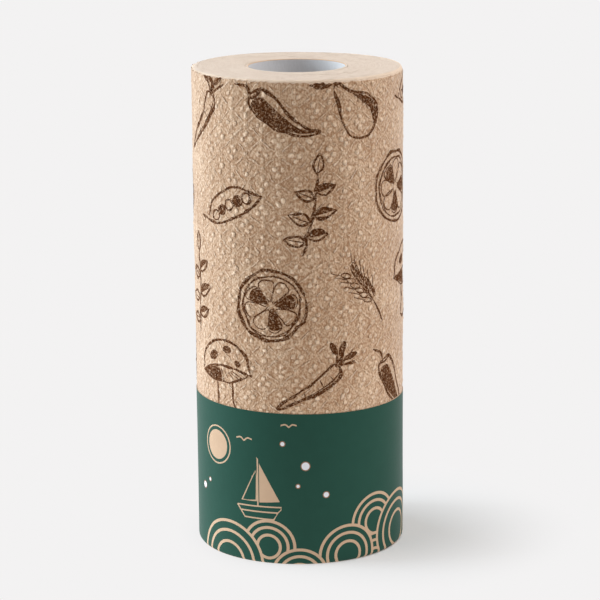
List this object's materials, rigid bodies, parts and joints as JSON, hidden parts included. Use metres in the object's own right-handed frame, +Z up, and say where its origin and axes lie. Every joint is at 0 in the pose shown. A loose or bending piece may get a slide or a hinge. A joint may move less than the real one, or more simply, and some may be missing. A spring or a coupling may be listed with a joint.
{
  "type": "paper towel roll",
  "caption": "Embossed paper towel roll on a cardboard core, standing on end, with a printed paper band round its lower third.",
  "frame": {"origin": "centre of the roll's base, on the axis of the core", "axes": "+Z up along the axis of the core; the front of the printed band faces -Y"},
  "size_m": [0.0976, 0.0974, 0.225],
  "materials": {
    "towel_paper": "matt, embossed",
    "core_board": "matt",
    "band_paper": "matt, printed"
  },
  "bodies": {
    "root": {"wound_sheet": "towel_paper", "core_tube": "core_board", "paper_band": "band_paper"}
  },
  "joints": []
}
